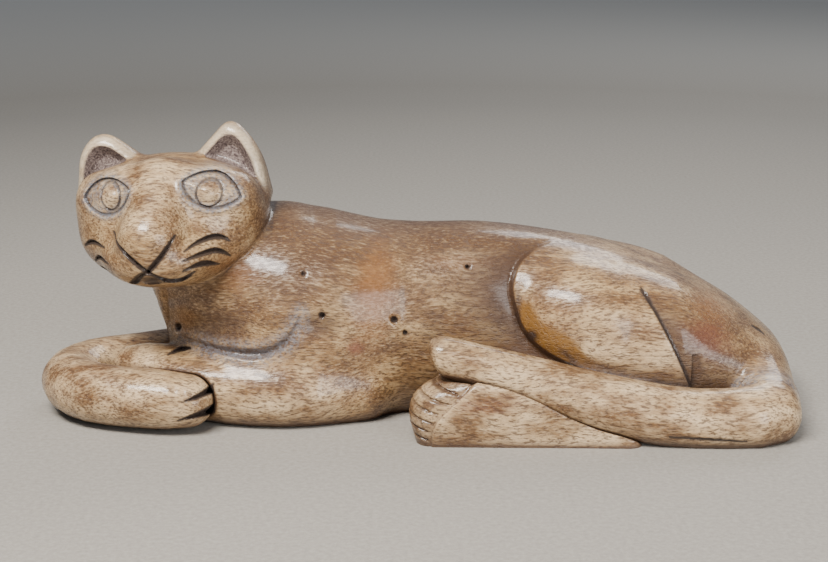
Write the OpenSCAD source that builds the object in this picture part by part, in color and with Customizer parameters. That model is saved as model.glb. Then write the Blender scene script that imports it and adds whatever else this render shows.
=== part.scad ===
// Reclining feline carved from a light hardwood, stained brown and varnished.
// It lies along X, head at -X, rump at +X; its left side, which carries the tail, faces -Y; +Z is up.
// The origin is on the flat underside, below the waist. All sizes are in millimetres.
// The form is one set of smooth fields. Each piece is the part of that form between flat glued seams,
// and round hardwood dowels pin the seams.

/* [Body] */
// height of the back at its highest, above the table
back_h = 84; // [78:1:90]
// half width of the chest behind the forelegs
chest_w = 44; // [40:1:48]
// half width of the waist
waist_w = 35; // [31:1:39]
// half width of the rump
rump_w = 46; // [42:1:50]

/* [Head] */
// half width of the skull across the temples
skull_w = 42; // [38:0.5:45]
// how far the head is turned away from square to the body, degrees
head_turn = -8; // [-16:1:-2]
// how far the head leans over to one side, degrees
head_lean = -3; // [-6:1:0]
// height of the ear above its root
ear_h = 15; // [12:0.5:17]

/* [Limbs] */
// radius of the near forearm at the elbow
forearm_r = 16; // [14:0.5:18]
// radius of the curled far forearm
curl_r = 14; // [12.5:0.5:15.5]
// radius of the tail where it leaves the rump
tail_r = 16; // [14:0.5:18]
// room left between the tail or the curled paw and what it lies against
rest_gap = 0.5; // [0.3:0.1:1]

/* [Joints] */
// radius of the dowel in the neck
neck_dowel_r = 6; // [4:0.5:8]
// radius of the dowels in the limbs and the tail
limb_dowel_r = 4.5; // [3:0.5:5]
// radius of the pegs in the ears
ear_peg_r = 2; // [1.5:0.25:2.5]

/* [Fineness] */
// size of the facets on the torso
torso_step = 5.2; // [4.5:0.1:8]
// size of the facets on the head
head_step = 3.7; // [3:0.1:5]
// size of the facets on the limbs and the tail
limb_step = 3.7; // [3:0.1:5]
// size of the facets on the ears
ear_step = 2.3; // [2:0.1:3]

/* [Hidden] */
far = 400;
// honey coloured wood, the darker stained wood of the ears, and pale raw dowel wood
honey = [0.72, 0.56, 0.38];
umber = [0.50, 0.36, 0.26];
birch = [0.86, 0.76, 0.58];

// ---- seams -------------------------------------------------------------------------------------
// the neck seam is square to the neck
neck_at = [-89, -6, 69];
neck_dir = [-0.65, -0.22, 0.725];
neck_len = 22;
// the forelegs join the chest on two flats: a wall across the body and a shelf under the breast
leg_wall = -62;
leg_shelf = 33.5;
leg_split = 0;
// each hind foot joins on a wall along the body and a shelf under the thigh
foot_wall = 41;
foot_shelf = 34;
foot_start = -8;
foot_end = 118;
// the tail joins on a wall along the side of the rump
tail_wall = 46;
// each ear stands in a shallow square seat in the skull
ear_at = [27, 8, 20];
ear_tilt = 20;
ear_seat = [40, 17];
// the head's own axes: X across it, -Y the way it faces, Z up
head_at = [-103.5, -16, 84];

// ---- shapes ------------------------------------------------------------------------------------
function smin(a, b, k) = let (m = max(k - abs(a - b), 0) / k) min(a, b) - m * m * k / 4;
function smax(a, b, k) = -smin(-a, -b, k);
function clamp(v, a, b) = max(a, min(b, v));
function turned(t) = let (cx = cos(t.x), sx = sin(t.x), cy = cos(t.y), sy = sin(t.y), cz = cos(t.z), sz = sin(t.z))
  [[cz, -sz, 0], [sz, cz, 0], [0, 0, 1]] * [[cy, 0, sy], [0, 1, 0], [-sy, 0, cy]]
  * [[1, 0, 0], [0, cx, -sx], [0, sx, cx]];

// an ellipsoid
function ball(c, r, t = [0, 0, 0]) =
  let (m = turned(t), i = [1 / r.x, 1 / r.y, 1 / r.z], j = [1 / r.x ^ 2, 1 / r.y ^ 2, 1 / r.z ^ 2])
  function (p) let (q = (p - c) * m, a = norm([q.x * i.x, q.y * i.y, q.z * i.z]),
    b = norm([q.x * j.x, q.y * j.y, q.z * j.z])) a * (a - 1) / (b + 1e-9);

// a round bar along a smooth line through points of the form [x, y, z, radius]
function catmull(p, s) = let (n = len(p) - 1, i = min(floor(s), n - 1), t = s - i,
  a = i > 0 ? p[i - 1] : 2 * p[0] - p[1], b = p[i], c = p[i + 1], d = i + 2 <= n ? p[i + 2] : 2 * p[n] - p[n - 1])
  0.5 * (2 * b + (c - a) * t + (2 * a - 5 * b + 4 * c - d) * t ^ 2 + (3 * b - a - 3 * c + d) * t ^ 3);
function limb(pts, n = 3) =
  let (s = [for (i = [0 : n * (len(pts) - 1)]) catmull(pts, i / n)],
    segs = [for (i = [0 : len(s) - 2]) let (a = s[i], b = s[i + 1], ab = [b[0] - a[0], b[1] - a[1], b[2] - a[2]])
      [[a[0], a[1], a[2]], ab, 1 / (ab * ab), a[3], b[3] - a[3]]])
  function (p) min([for (s = segs) let (q = p - s[0], t = clamp((q * s[1]) * s[2], 0, 1))
    norm(q - t * s[1]) - s[3] - t * s[4]]);

// a long body given by stations of the form [x, half width, widest height, top, reach below widest height]
function slope(s, i) = i == 0 ? (s[1] - s[0]) / (s[1][0] - s[0][0])
  : i == len(s) - 1 ? (s[i] - s[i - 1]) / (s[i][0] - s[i - 1][0])
  : let (a = s[i][0] - s[i - 1][0], b = s[i + 1][0] - s[i][0])
    ((s[i + 1] - s[i]) * a / b + (s[i] - s[i - 1]) * b / a) / (a + b);
function station(s, m, x) =
  let (i = max([for (j = [0 : len(s) - 2]) s[j][0] <= x ? j : 0]), d = s[i + 1][0] - s[i][0], t = (x - s[i][0]) / d)
  (2 * t ^ 3 - 3 * t ^ 2 + 1) * s[i] + (t ^ 3 - 2 * t ^ 2 + t) * d * m[i]
  + (3 * t ^ 2 - 2 * t ^ 3) * s[i + 1] + (t ^ 3 - t ^ 2) * d * m[i + 1];
function loft(s) = let (m = [for (i = [0 : len(s) - 1]) slope(s, i)], a = s[0][0], b = s[len(s) - 1][0])
  function (p) let (v = station(s, m, clamp(p.x, a, b)), y = abs(p.y) / v[1], z = p.z - v[2],
    h = z > 0 ? z / (v[3] - v[2]) : -z / v[4])
    smax(((y ^ 2.3 + h ^ 2.3) ^ (1 / 2.3) - 1) * min(v[1], v[3] - v[2]) * 0.9, max(a - p.x, p.x - b), 6);

// ---- the whole form ----------------------------------------------------------------------------
trunk = loft([
  [-107, 14, 32, 52, 44],
  [-98, 28, 32, 64, 50],
  [-84, chest_w - 6, 34, back_h - 8, 54],
  [-62, chest_w, 36, back_h, 60],
  [-34, chest_w, 36, back_h - 2, 54],
  [0, waist_w + 1, 36, back_h - 4, 43],
  [30, waist_w, 36, back_h - 4, 50],
  [60, waist_w + 5, 35, back_h - 8, 57],
  [92, rump_w - 1, 32, back_h - 15.5, 54],
  [120, rump_w, 27, back_h - 27, 48],
  [142, rump_w - 4, 21, back_h - 39, 40],
  [156, rump_w - 10, 17, back_h - 50, 32],
  [166, rump_w - 20, 13, back_h - 59, 24]]);
neck = limb([[-56, 2, 44, 36], [-78, -2, 56, 30], [-96, -8, 76, 25]]);
near_thigh = ball([83, -23, 36], [45, 27, 30.5], [0, 24, 0]);
far_thigh = ball([83, 23, 36], [45, 27, 30.5], [0, 24, 0]);
near_arm = limb([[-24, -28, 12, forearm_r - 2], [-56, -36, 14, forearm_r], [-90, -32, 15, forearm_r - 1],
  [-112, -24, 18.5, forearm_r - 3], [-123, -19.5, 20, forearm_r - 6.5]]);
far_arm = limb([[-24, 28, 12, curl_r], [-62, 30, 13, curl_r + 1], [-96, 22, 13, curl_r], [-124, 11, 13, curl_r - 1],
  [-144, -1, 13.5, curl_r - 1], [-151, -20, 14, curl_r - 1], [-138, -38, 14, curl_r - 1], [-110, -47, 14, curl_r - 1.2],
  [-97, -48, 13.5, curl_r - 2.5]]);
near_toes = function (p) let (a = smax(1 - p.x, 0.72 * (p.z - 14) - 0.69 * (p.x - 2), 5),
  b = smax(smax(a, p.z - 28, 6), p.x - 96, 8), c = smax(b, 0.94 * (p.z - 28) + 0.33 * (p.x - 40), 6))
  smax(c, abs(p.y + 54 + 0.03 * p.x) - 13.5, 7);
near_shank = limb([[10, -57, 14, 11], [50, -50, 14, 15], [92, -44, 10, 12]]);
near_foot = function (p) smin(near_toes(p), near_shank(p), 12);
far_foot = function (p) near_foot([p.x, -p.y, p.z]);
tail_bar = limb([[144, -20, 14, tail_r - 1], [149, -53, 14, tail_r - 0.5], [118, -60, 12, tail_r - 3],
  [80, -60, 17, tail_r - 3.5], [44, -58, 27, tail_r - 5.5], [12, -56, 36, tail_r - 7.5]]);
blunt_tail = function (p) smax(tail_bar(p), -0.93 * (p.x - 7) - 0.35 * (p.z - 37), 3);

// the head, in its own axes
skull = ball([-0.5, 2, 7], [skull_w, 33, 23]);
brow = limb([[-29, -10, 15, 9], [-12, -17, 19, 9.5], [12, -17, 19, 9.5], [29, -10, 15, 9]]);
cheeks = ball([-1, -3, -4], [skull_w - 3, 31, 21]);
muzzle = ball([0, -25, -8], [24, 22, 13]);
nose = limb([[0, -15, 19, 11], [0, -29, 11, 11], [-2, -39, 2, 9.5]]);
nose_pad = ball([-0.5, -34, 2], [13.5, 13.5, 11], [-15, 0, 0]);
face = function (q)
  let (a = smin(smin(skull(q), cheeks(q), 8), brow(q), 8), b = smin(a, muzzle(q), 8))
  smin(smin(b, nose(q), 7), nose_pad(q), 5);
// an ear is a rounded triangle e, thinner towards its tip
ear_plate = function (q, e) smax(smax(e, abs(q.y - 8) - 7 + 0.1 * (q.z - 20), 6), 8 - q.z, 4);
left_lobe = function (q) ear_plate(q, smax(smax(0.707 * (q.z - q.x - 19),
  0.74 * (q.x - 34) + 0.67 * (q.z - 21.5 - ear_h), 7), 0.98 * (q.x - 40) + 0.16 * (q.z - 22), 6));
right_lobe = function (q) ear_plate(q, smax(smax(0.6 * (q.x + 14) + 0.8 * (q.z - 28),
  -0.55 * (q.x + 36) + 0.83 * (q.z - 22 - ear_h), 7), -0.99 * (q.x + 43) + 0.12 * (q.z - 22), 6));
head_form = function (q) smin(smin(face(q), left_lobe(q), 3), right_lobe(q), 3);
head_axes = turned([0, head_lean, head_turn]);

// the pieces of the form that a node needs, each in the body's axes
head_field = function (p) smin(head_form((p - head_at) * head_axes), smin(trunk(p), neck(p), 22), 4);
chest = function (p) smin(trunk(p), neck(p), 22);
near_leg_field = function (p)
  smax(smin(smax(chest(p), p.y - 9, 1), near_arm(p), 5), rest_gap - far_arm(p), 4);
far_leg_field = function (p) smin(smax(chest(p), -9 - p.y, 1), far_arm(p), 5);
torso_field = function (p)
  let (a = smin(smin(chest(p), near_thigh(p), 3), far_thigh(p), 3),
    b = p.x < 10 ? smin(smin(a, near_arm(p), 5), far_arm(p), 5) : a,
    c = p.x > -10 ? smin(smin(b, near_foot(p), 9), far_foot(p), 9) : b,
    d = p.x < -50 ? smin(c, head_form((p - head_at) * head_axes), 4) : c,
    t = p.x > -8 ? blunt_tail(p) : 99,
    e = smin(d, max(t, -p.y - tail_wall - 9), 4))
  smax(e, rest_gap - max(t, p.y + tail_wall), 4);
near_foot_field = function (p)
  smax(smin(smin(trunk(p), near_thigh(p), 3), near_foot(p), 9), rest_gap - blunt_tail(p), 4);
far_foot_field = function (p) smin(smin(trunk(p), far_thigh(p), 3), far_foot(p), 9);
tail_field = function (p) smin(trunk(p), blunt_tail(p), 4);

// ---- turning a field into a solid --------------------------------------------------------------
EDGES = [[0, 1], [2, 3], [4, 5], [6, 7], [0, 2], [1, 3], [4, 6], [5, 7], [0, 4], [1, 5], [2, 6], [3, 7]];
UNIT = [for (k = [0, 1], j = [0, 1], i = [0, 1]) [i, j, k]];
function corners(g, i, j, k) = [g[i][j][k], g[i + 1][j][k], g[i][j + 1][k], g[i + 1][j + 1][k],
  g[i][j][k + 1], g[i + 1][j][k + 1], g[i][j + 1][k + 1], g[i + 1][j + 1][k + 1]];
function sum(v) = v * [for (x = v) 1];
function mean(v) = [for (a = [0 : 2]) sum([for (x = v) x[a]]) / len(v)];
function crossing(c) = mean([for (e = EDGES) let (a = c[e[0]], b = c[e[1]]) if ((a < 0) != (b < 0))
  let (t = a / (a - b)) UNIT[e[0]] * (1 - t) + UNIT[e[1]] * t]);
function settle(f, p) = let (e = 0.05, v = f(p), g = [for (a = [[e, 0, 0], [0, e, 0], [0, 0, e]]) (f(p + a) - v) / e])
  p - v * g / (g * g + 0.01);

function pinched(g, i, j, k) = len([for (s = [-1, 1], t = [-1, 1]) if (
    (g[i + s][j][k] < 0 && g[i][j + t][k] < 0 && g[i + s][j + t][k] >= 0)
    || (g[i + s][j][k] < 0 && g[i][j][k + t] < 0 && g[i + s][j][k + t] >= 0)
    || (g[i][j + s][k] < 0 && g[i][j][k + t] < 0 && g[i][j + s][k + t] >= 0)) 1]) > 0;

// the solid where the field f is below zero, inside the box from lo to hi, in cells of about h
module solid(f, lo, hi, h) {
  n = [for (a = [0 : 2]) ceil((hi[a] - lo[a]) / h) + 2];
  o = lo - [h, h, h];
  box = function (p) max(max(lo - p), max(p - hi));
  raw = [for (i = [0 : n.x]) [for (j = [0 : n.y]) [for (k = [0 : n.z]) let (p = o + h * [i, j, k], b = box(p))
    b > 0 ? b : max(f(p), b)]]];
  // a corner that would leave two sheets meeting along one edge is filled in
  g = [for (i = [0 : n.x]) [for (j = [0 : n.y]) [for (k = [0 : n.z]) let (v = raw[i][j][k])
    v < 0 || v > 1.5 * h || i * j * k == 0 || i == n.x || j == n.y || k == n.z ? v : pinched(raw, i, j, k) ? -0.03 * h : v]]];
  pts = [for (i = [0 : n.x - 1], j = [0 : n.y - 1], k = [0 : n.z - 1]) let (c = corners(g, i, j, k))
    min(c) < 0 && max(c) >= 0 ? let (q = o + h * ([i, j, k] + crossing(c)), w = box(q) > -0.7 * h)
      (w ? q : settle(f, settle(f, q))) : [0, 0, 0]];
  id = function (i, j, k) (i * n.y + j) * n.z + k;
  quad = function (a, b, c, d, inside) inside ? [a, b, c, d] : [d, c, b, a];
  faces = [for (i = [0 : n.x - 1], j = [0 : n.y - 1], k = [0 : n.z - 1]) let (s = g[i][j][k] < 0) each [
    if (j > 0 && k > 0 && s != (g[i + 1][j][k] < 0))
      quad(id(i, j - 1, k - 1), id(i, j - 1, k), id(i, j, k), id(i, j, k - 1), s),
    if (i > 0 && k > 0 && s != (g[i][j + 1][k] < 0))
      quad(id(i - 1, j, k - 1), id(i, j, k - 1), id(i, j, k), id(i - 1, j, k), s),
    if (i > 0 && j > 0 && s != (g[i][j][k + 1] < 0))
      quad(id(i - 1, j - 1, k), id(i - 1, j, k), id(i, j, k), id(i, j - 1, k), s)]];
  polyhedron(pts, faces, convexity = 8);
}

// a box from one corner to the other
module slab(lo, hi) {
  translate(lo) cube(hi - lo);
}
// everything on the head's side of the neck seam
module beyond_neck() {
  translate(neck_at) rotate([0, acos(neck_dir.z / norm(neck_dir)), atan2(neck_dir.y, neck_dir.x)])
    translate([-far / 2, -far / 2, 0]) cube(far);
}
module along_neck(r, a, b) {
  translate(neck_at) rotate([0, acos(neck_dir.z / norm(neck_dir)), atan2(neck_dir.y, neck_dir.x)])
    translate([0, 0, a]) cylinder(r = r, h = b - a, $fn = 48);
}
// children drawn in the head's axes
module in_head() {
  translate(head_at) rotate([0, head_lean, head_turn]) children();
}
// the seat of one ear, reaching well above it; side is 1 for the left ear and -1 for the right
module ear_room(side) {
  in_head() translate([side * ear_at.x, ear_at.y, ear_at.z]) rotate([0, side * ear_tilt, 0])
    translate([-ear_seat.x / 2, -ear_seat.y / 2, 0]) cube([ear_seat.x, ear_seat.y, 40]);
}
module ear_bore(side) {
  in_head() translate([side * ear_at.x, ear_at.y + 1.5, ear_at.z]) rotate([0, side * ear_tilt, 0])
    translate([0, 0, -8]) cylinder(r = ear_peg_r, h = 17, $fn = 32);
}
module leg_bore(side) {
  translate([leg_wall - 20, side * 30, 14]) rotate([0, 90, 0]) cylinder(r = limb_dowel_r, h = 40, $fn = 40);
}
module foot_bore(side) {
  translate([50, side * (foot_wall + 10), 12]) rotate([side * 90, 0, 0]) cylinder(r = limb_dowel_r - 0.5, h = 24, $fn = 40);
}
module tail_bore() {
  translate([146, -tail_wall - 16, 14]) rotate([-90, 0, 0]) cylinder(r = limb_dowel_r + 0.5, h = 32, $fn = 40);
}

// ---- pieces ------------------------------------------------------------------------------------
module torso() {
  color(honey) difference() {
    resize([0, 0, 0]) difference() {
      solid(torso_field, [-125, -75, -6], [175, 75, 110], torso_step);
      slab([-far, -far, -far], [far, far, 0]);
      slab([-far, -far, -1], [leg_wall, far, leg_shelf]);
      slab([foot_start, -far, -1], [foot_end, -foot_wall, foot_shelf]);
      slab([foot_start, foot_wall, -1], [foot_end, far, foot_shelf]);
      slab([foot_end, -far, -1], [far, -tail_wall, foot_shelf]);
      beyond_neck();
    }
    along_neck(neck_dowel_r, -neck_len, neck_len);
    leg_bore(-1);
    leg_bore(1);
    foot_bore(-1);
    foot_bore(1);
    tail_bore();
  }
}

module head() {
  color(honey) difference() {
    resize([0, 0, 0]) difference() {
      intersection() {
        solid(head_field, [-156, -72, 40], [-48, 38, 140], head_step);
        beyond_neck();
      }
      slab([-far, -far, -far], [far, far, leg_shelf]);
      ear_room(1);
      ear_room(-1);
    }
    along_neck(neck_dowel_r, -neck_len, neck_len);
    ear_bore(1);
    ear_bore(-1);
  }
}

module ear(side, field) {
  color(umber) difference() {
    resize([0, 0, 0]) intersection() {
      in_head() solid(field, [side * 27 - 23, -7, 6], [side * 27 + 23, 23, 46], ear_step);
      ear_room(side);
    }
    ear_bore(side);
  }
}
module left_ear() {
  ear(1, head_form);
}
module right_ear() {
  ear(-1, head_form);
}

module left_foreleg() {
  color(honey) difference() {
    resize([0, 0, 0]) difference() {
      solid(near_leg_field, [-150, -60, -5], [leg_wall + 6, 16, leg_shelf + 5], limb_step);
      slab([-far, -far, -far], [far, far, 0]);
      slab([leg_wall, -far, -far], [far, far, far]);
      slab([-far, -far, leg_shelf], [far, far, far]);
      slab([-far, leg_split, -far], [far, far, far]);
    }
    leg_bore(-1);
  }
}

module right_foreleg() {
  color(honey) difference() {
    resize([0, 0, 0]) difference() {
      solid(far_leg_field, [-172, -70, -5], [leg_wall + 6, 56, leg_shelf + 5], limb_step);
      slab([-far, -far, -far], [far, far, 0]);
      slab([leg_wall, -far, -far], [far, far, far]);
      slab([-far, -far, leg_shelf], [far, far, far]);
      slab([-111, -28, -far], [far, leg_split, far]);
    }
    leg_bore(1);
  }
}

module hind_foot(side, field) {
  w = foot_wall - 6;
  color(honey) difference() {
    resize([0, 0, 0]) difference() {
      solid(field, side > 0 ? [-14, w, -5] : [-14, -84, -5], side > 0 ? [foot_end + 6, 84, foot_shelf + 5]
        : [foot_end + 6, -w, foot_shelf + 5], limb_step);
      slab([-far, -far, -far], [far, far, 0]);
      slab([-far, -far, foot_shelf], [far, far, far]);
      slab([foot_end, -far, -far], [far, far, far]);
      slab([-far, -far, -far], [foot_start, far, far]);
      slab([-far, -foot_wall, -far], [far, foot_wall, far]);
    }
    foot_bore(side);
  }
}
module left_hind_foot() {
  hind_foot(-1, near_foot_field);
}
module right_hind_foot() {
  hind_foot(1, far_foot_field);
}

module tail() {
  color(honey) difference() {
    resize([0, 0, 0]) difference() {
      solid(tail_field, [-6, -86, -5], [180, -tail_wall + 6, 50], limb_step);
      slab([-far, -far, -far], [far, far, 0]);
      slab([-far, -tail_wall, -far], [far, far, far]);
    }
    tail_bore();
  }
}

module neck_dowel() {
  color(birch) along_neck(neck_dowel_r, -neck_len, neck_len);
}
module left_ear_peg() {
  color(birch) ear_bore(1);
}
module right_ear_peg() {
  color(birch) ear_bore(-1);
}
module left_foreleg_dowel() {
  color(birch) leg_bore(-1);
}
module right_foreleg_dowel() {
  color(birch) leg_bore(1);
}
module left_hind_foot_dowel() {
  color(birch) foot_bore(-1);
}
module right_hind_foot_dowel() {
  color(birch) foot_bore(1);
}
module tail_dowel() {
  color(birch) tail_bore();
}

torso();
head();
left_ear();
right_ear();
left_foreleg();
right_foreleg();
left_hind_foot();
right_hind_foot();
tail();
neck_dowel();
left_ear_peg();
right_ear_peg();
left_foreleg_dowel();
right_foreleg_dowel();
left_hind_foot_dowel();
right_hind_foot_dowel();
tail_dowel();
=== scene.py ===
import math
import bmesh
import bpy
import numpy as np
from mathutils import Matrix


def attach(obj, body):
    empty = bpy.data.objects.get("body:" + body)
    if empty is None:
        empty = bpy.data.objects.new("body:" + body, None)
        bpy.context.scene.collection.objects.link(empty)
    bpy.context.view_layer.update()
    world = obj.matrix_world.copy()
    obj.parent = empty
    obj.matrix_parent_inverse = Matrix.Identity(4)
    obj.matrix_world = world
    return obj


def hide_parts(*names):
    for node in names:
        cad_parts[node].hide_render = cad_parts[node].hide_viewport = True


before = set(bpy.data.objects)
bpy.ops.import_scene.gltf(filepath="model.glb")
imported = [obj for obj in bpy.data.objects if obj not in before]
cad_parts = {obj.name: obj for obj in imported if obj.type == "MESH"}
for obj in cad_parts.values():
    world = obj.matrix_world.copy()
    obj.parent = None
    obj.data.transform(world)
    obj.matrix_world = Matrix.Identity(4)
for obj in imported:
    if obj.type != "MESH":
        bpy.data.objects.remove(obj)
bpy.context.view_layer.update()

import openvdb
from mathutils import Vector

# A form is a function of many points at once. It gives each point's rough distance from a surface, in
# millimetres, negative inside. In this script p holds points in the frame's axes, q the same points seen
# from the side or in the head's own axes, and v their distances.
F = np.float32
MM = 0.001                                                   # a millimetre in metres
PER_METRE = 1000


# ---- smooth forms --------------------------------------------------------------------------------
def soft_min(a, b, k):
    """The smaller of two distances, rounded over a width k where they are close."""
    m = np.maximum(k-np.abs(a-b), 0)/k
    return np.minimum(a, b)-m*m*k*0.25


def soft_max(a, b, k):
    return -soft_min(-a, -b, k)


def rotation(degrees):
    """A turn about x, then y, then z."""
    a, b, c = np.radians(degrees)
    about_x = np.array([[1, 0, 0], [0, np.cos(a), -np.sin(a)], [0, np.sin(a), np.cos(a)]])
    about_y = np.array([[np.cos(b), 0, np.sin(b)], [0, 1, 0], [-np.sin(b), 0, np.cos(b)]])
    about_z = np.array([[np.cos(c), -np.sin(c), 0], [np.sin(c), np.cos(c), 0], [0, 0, 1]])
    return (about_z@about_y@about_x).astype(F)


def ball(centre, radii, turn=(0, 0, 0)):
    """An ellipsoid."""
    centre = np.array(centre, F)
    inverse = 1/np.array(radii, F)
    axes = rotation(turn)

    def form(p):
        q = ((p-centre)@axes)*inverse
        a = np.sqrt((q*q).sum(1))
        q *= inverse
        return a*(a-1)/(np.sqrt((q*q).sum(1))+1e-9)
    return form


def spline(points, steps):
    """A smooth curve through points. Further columns, such as a radius, are carried along."""
    points = np.array(points, float)
    last = len(points)-1
    out = []
    for s in np.linspace(0, last, steps*last+1):
        i = min(int(s), last-1)
        t = s-i
        b, c = points[i], points[i+1]
        a = points[i-1] if i else 2*b-c
        d = points[i+2] if i+2 <= last else 2*c-b
        out.append(0.5*(2*b+(c-a)*t+(2*a-5*b+4*c-d)*t*t+(3*b-a-3*c+d)*t**3))
    return np.array(out, F)


def bar(p, stations):
    """The distance from a round bar. A station is a centre followed by a radius."""
    best = None
    for a, b in zip(stations[:-1], stations[1:]):
        run = b[:-1]-a[:-1]
        q = p-a[:-1]
        t = np.clip((q@run)/(run@run), 0, 1)
        q -= t[:, None]*run
        v = np.sqrt((q*q).sum(1))-a[-1]-t*(b[-1]-a[-1])
        best = v if best is None else np.minimum(best, v)
    return best


def limb(points, steps=3):
    stations = spline(points, steps)
    return lambda p: bar(p, stations)


def eased(x, xs, ys):
    """The height at x of a smooth curve through the points (xs, ys)."""
    slope = np.gradient(ys, xs)
    i = np.clip(np.searchsorted(xs, x)-1, 0, len(xs)-2)
    d = xs[i+1]-xs[i]
    t = (x-xs[i])/d
    ends = (2*t**3-3*t**2+1)*ys[i]+(3*t**2-2*t**3)*ys[i+1]
    return (ends+(t**3-2*t**2+t)*d*slope[i]+(t**3-t**2)*d*slope[i+1]).astype(F)


def loft(stations, fullness=2.3, slope=0.9, end=6):
    """A body along x. A station is x, half the width, the middle's height, the top and the depth below."""
    stations = np.array(stations, float)
    first, last = stations[0, 0], stations[-1, 0]

    def form(p):
        x = np.clip(p[:, 0], first, last)
        half, middle, top, depth = [eased(x, stations[:, 0], stations[:, j]) for j in (1, 2, 3, 4)]
        y = np.abs(p[:, 1])/half
        z = p[:, 2]-middle
        z = np.where(z > 0, z/(top-middle), -z/depth)
        v = ((y**fullness+z**fullness)**(1/fullness)-1)*np.minimum(half, top-middle)*slope
        return soft_max(v, np.maximum(first-p[:, 0], p[:, 0]-last), end).astype(F)
    return form


# ---- the body ------------------------------------------------------------------------------------
trunk = loft([(-107, 14, 32, 52, 44), (-98, 28, 32, 64, 50), (-84, 38, 34, 76, 54), (-62, 44, 36, 84, 60),
              (-34, 44, 36, 82, 54), (0, 36, 36, 80, 43), (30, 35, 36, 80, 50), (60, 40, 35, 76, 57),
              (92, 45, 32, 68.5, 54), (120, 46, 27, 57, 48), (142, 42, 21, 45, 40), (156, 36, 17, 34, 32),
              (166, 26, 13, 25, 24)])
neck = limb([(-56, 2, 44, 36), (-78, -2, 56, 30), (-96, -8, 76, 25)])
near_thigh, far_thigh = [ball((83, y, 36), (45, 27, 30.5), (0, 24, 0)) for y in (-23, 23)]
near_arm = limb([(-24, -28, 12, 14), (-56, -36, 14, 16), (-90, -32, 15, 15), (-112, -24, 18.5, 13),
                 (-123, -19.5, 20, 9.5)])
far_arm = limb([(-24, 28, 12, 14), (-62, 30, 13, 15), (-96, 22, 13, 14), (-124, 11, 13, 13),
                (-144, -1, 13.5, 13), (-151, -20, 14, 13), (-138, -38, 14, 13), (-110, -47, 14, 12.8),
                (-97, -48, 13.5, 11.5)])
near_shank = limb([(10, -57, 14, 11), (50, -50, 14, 15), (92, -44, 10, 12)])
tail_bar = limb([(144, -20, 11, 14), (150, -56, 10.5, 13.8), (118, -60.5, 9.5, 13.2), (80, -60, 16.5, 12.5),
                 (44, -58, 27, 10.5), (12, -56, 36, 8.5)])


def chest(p):
    return soft_min(trunk(p), neck(p), 22)


def with_thighs(v, p):
    """The thighs stand off the flank in front and melt into the rump behind."""
    k = (2.5+14*np.clip((p[:, 0]-88)/26, 0, 1)).astype(F)
    return soft_min(soft_min(v, near_thigh(p), k), far_thigh(p), k)


def body_form(p):
    return with_thighs(chest(p), p)


def tail_form(p):
    """The tail, its tip cut off on a slant."""
    return soft_max(tail_bar(p), -0.93*(p[:, 0]-7)-0.35*(p[:, 2]-37), 3)


def tail_blend(x):
    """How softly the tail meets the body: crisp along its length, soft where it leaves the rump."""
    return (3+11*np.clip((x-136)/20, 0, 1)).astype(F)


def toe_front(x, z):
    """The front of a hind foot: upright at the ground, then sloping back."""
    return soft_max(1-x, 0.72*(z-14)-0.69*(x-2), 5)


def near_foot(p):
    x, y, z = p.T
    v = soft_max(soft_max(toe_front(x, z), z-28, 6), x-96, 8)
    v = soft_max(v, 0.94*(z-28)+0.33*(x-40), 6)
    v = soft_max(v, np.abs(y+54+0.03*x)-13.5, 7)
    return soft_min(v, near_shank(p), 12)


def far_foot(p):
    return near_foot(p*np.array([1, -1, 1], F))


# ---- the head, in its own axes: x across it, -y the way it faces, z up -----------------------------
HEAD_AT = np.array([-103.5, -16, 84], F)
HEAD_AXES = rotation((0, -3, -8))
EAR_OUT, EAR_BACK, EAR_ROOT = 27, 8, 20

skull = ball((-0.5, 2, 7), (42, 33, 23))
brow = limb([(-29, -10, 15, 9), (-12, -17, 19, 9.5), (12, -17, 19, 9.5), (29, -10, 15, 9)])
cheeks = ball((-1, -3, -4), (39, 31, 21))
muzzle = ball((0, -25, -8), (24, 22, 13))
nose_ridge = limb([(0, -15, 19, 11), (0, -29, 11, 11), (-2, -39, 2, 9.5)])
nose_tip = ball((-0.5, -34, 2), (13.5, 13.5, 11), (-15, 0, 0))


def to_head(p):
    return (p-HEAD_AT)@HEAD_AXES


def face(q):
    v = skull(q)
    for form, k in ((cheeks, 8), (brow, 8), (muzzle, 8), (nose_ridge, 7), (nose_tip, 5)):
        v = soft_min(v, form(q), k)
    return v


def ear_outline(q, s):
    """The ear's outline seen from the front. s is 1 for the left ear and -1 for the right."""
    x, z = s*q[:, 0], q[:, 2]
    if s > 0:
        inner = -0.707*(x-9.5)+0.707*(z-28.5)
        top = 0.74*(x-34)+0.67*(z-36.5)
        outer = 0.98*(x-40)+0.16*(z-22)
    else:
        inner = -0.6*(x-14)+0.8*(z-28)
        top = 0.55*(x-36)+0.83*(z-37)
        outer = 0.99*(x-43)+0.12*(z-22)
    return soft_max(soft_max(inner, top, 7), outer, 6)


def ear_half_thickness(q):
    return 7-0.1*(q[:, 2]-EAR_ROOT)


def ear_form(q, s):
    v = soft_max(ear_outline(q, s), np.abs(q[:, 1]-EAR_BACK)-ear_half_thickness(q), 6)
    return soft_max(v, 8-q[:, 2], 4)


def head_form(q):
    return soft_min(soft_min(face(q), ear_form(q, 1), 3), ear_form(q, -1), 3)


# ---- carved lines --------------------------------------------------------------------------------
def gouge(v, edge, slope=1.3, deep=2.0):
    """A V cut along a line. edge is the distance from the line less half its width."""
    return v+np.minimum(slope*np.maximum(-edge, 0), deep)


def line(q, points, axes=(0, 1)):
    """The distance from a line drawn on two of the axes. A point of it ends with half its width."""
    return bar(q[:, list(axes)], spline(points, 4))


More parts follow.
